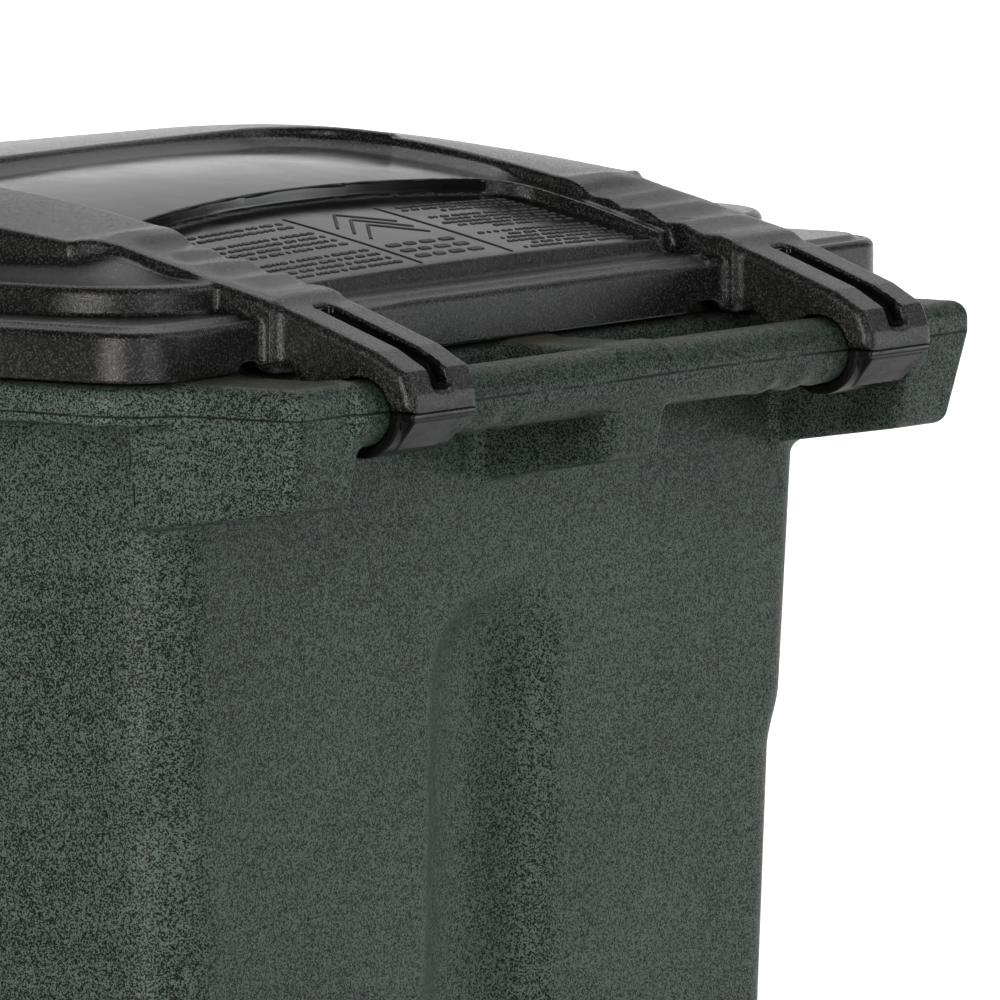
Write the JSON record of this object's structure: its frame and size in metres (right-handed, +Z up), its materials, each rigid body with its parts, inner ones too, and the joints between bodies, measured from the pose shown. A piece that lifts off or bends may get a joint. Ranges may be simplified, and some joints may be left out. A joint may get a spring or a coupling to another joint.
{
  "type": "wheelie bin",
  "caption": "Upright two-wheeled refuse bin with a drafted speckled tub, an integral rear handle bar, a domed hinged lid and a front stop bar.",
  "frame": {"origin": "on the ground, under the middle of the bin's overall box", "axes": "+Z up, the front faces -Y, the handle and wheels are at +Y, +X is the bin's right seen from behind"},
  "size_m": [0.616, 0.8, 1.0665],
  "materials": {
    "tub_plastic": "matte, fine granite speckle",
    "lid_plastic": "satin, fine moulded grain",
    "clip_plastic": "gloss",
    "black_plastic": "satin",
    "tyre_rubber": "matte",
    "bush_plastic": "satin",
    "steel": "satin",
    "zinc_steel": "satin zinc"
  },
  "bodies": {
    "bin": {"bin_body": "tub_plastic", "axle": "steel", "axle_spacer_left": "black_plastic", "axle_spacer_right": "black_plastic"},
    "lid": {"lid": "lid_plastic", "hinge_clip_left": "clip_plastic", "hinge_clip_right": "clip_plastic"},
    "wheel_left": {"wheel_left": "black_plastic", "tyre_left": "tyre_rubber", "wheel_bush_left": "bush_plastic", "hub_cap_left": "black_plastic", "latch_spring_left": "steel"},
    "latch_left": {"latch_pin_left": "steel"},
    "wheel_right": {"wheel_right": "black_plastic", "tyre_right": "tyre_rubber", "wheel_bush_right": "bush_plastic", "hub_cap_right": "black_plastic", "latch_spring_right": "steel"},
    "latch_right": {"latch_pin_right": "steel"},
    "stop_bar": {"stop_bar": "zinc_steel", "stop_bar_plug_left": "black_plastic", "stop_bar_plug_right": "black_plastic"}
  },
  "joints": [
    {"name": "lid_hinge", "type": "hinge", "parent": "bin", "child": "lid", "pos_m": [0, 0.372, 0.975], "axis": [-1, 0, 0], "range_deg": [0, 266]},
    {"name": "wheel_spin_left", "type": "hinge", "parent": "bin", "child": "wheel_left", "pos_m": [-0.245, 0.235, 0.127], "axis": [1, 0, 0], "continuous": true},
    {"name": "latch_slide_left", "type": "slide", "parent": "wheel_left", "child": "latch_left", "axis": [0, 0, 1], "range_m": [0, 0.0028], "stiffness_N_per_m": 600, "springref_m": -0.002, "deforming": ["latch_spring_left"]},
    {"name": "wheel_spin_right", "type": "hinge", "parent": "bin", "child": "wheel_right", "pos_m": [0.245, 0.235, 0.127], "axis": [1, 0, 0], "continuous": true},
    {"name": "latch_slide_right", "type": "slide", "parent": "wheel_right", "child": "latch_right", "axis": [0, 0, 1], "range_m": [0, 0.0028], "stiffness_N_per_m": 600, "springref_m": -0.002, "deforming": ["latch_spring_right"]},
    {"name": "stop_bar_spin", "type": "hinge", "parent": "bin", "child": "stop_bar", "pos_m": [0, -0.326, 0.445], "axis": [1, 0, 0], "continuous": true}
  ]
}
